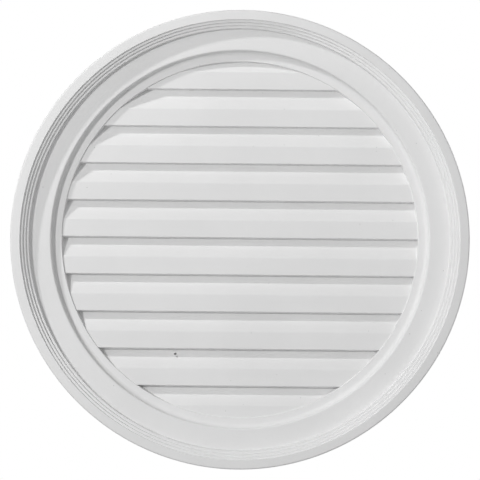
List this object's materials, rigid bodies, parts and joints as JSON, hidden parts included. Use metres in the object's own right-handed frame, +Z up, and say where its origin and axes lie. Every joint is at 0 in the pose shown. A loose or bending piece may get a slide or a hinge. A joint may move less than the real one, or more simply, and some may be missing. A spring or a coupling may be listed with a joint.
{
  "type": "round gable vent",
  "caption": "Round decorative gable vent moulded in one piece, with a stepped ring, a shallow cove and closed horizontal louvres on a flat back that fixes to a wall.",
  "frame": {"origin": "centre of the flat back, in the plane of the wall", "axes": "+Z up, -Y out of the wall through the louvres, +X to the right seen from the front"},
  "size_m": [0.5588, 0.057, 0.5588],
  "materials": {
    "primed_foam": "matt white primer over rigid polyurethane foam"
  },
  "bodies": {
    "root": {"gable_vent": "primed_foam"}
  },
  "joints": []
}
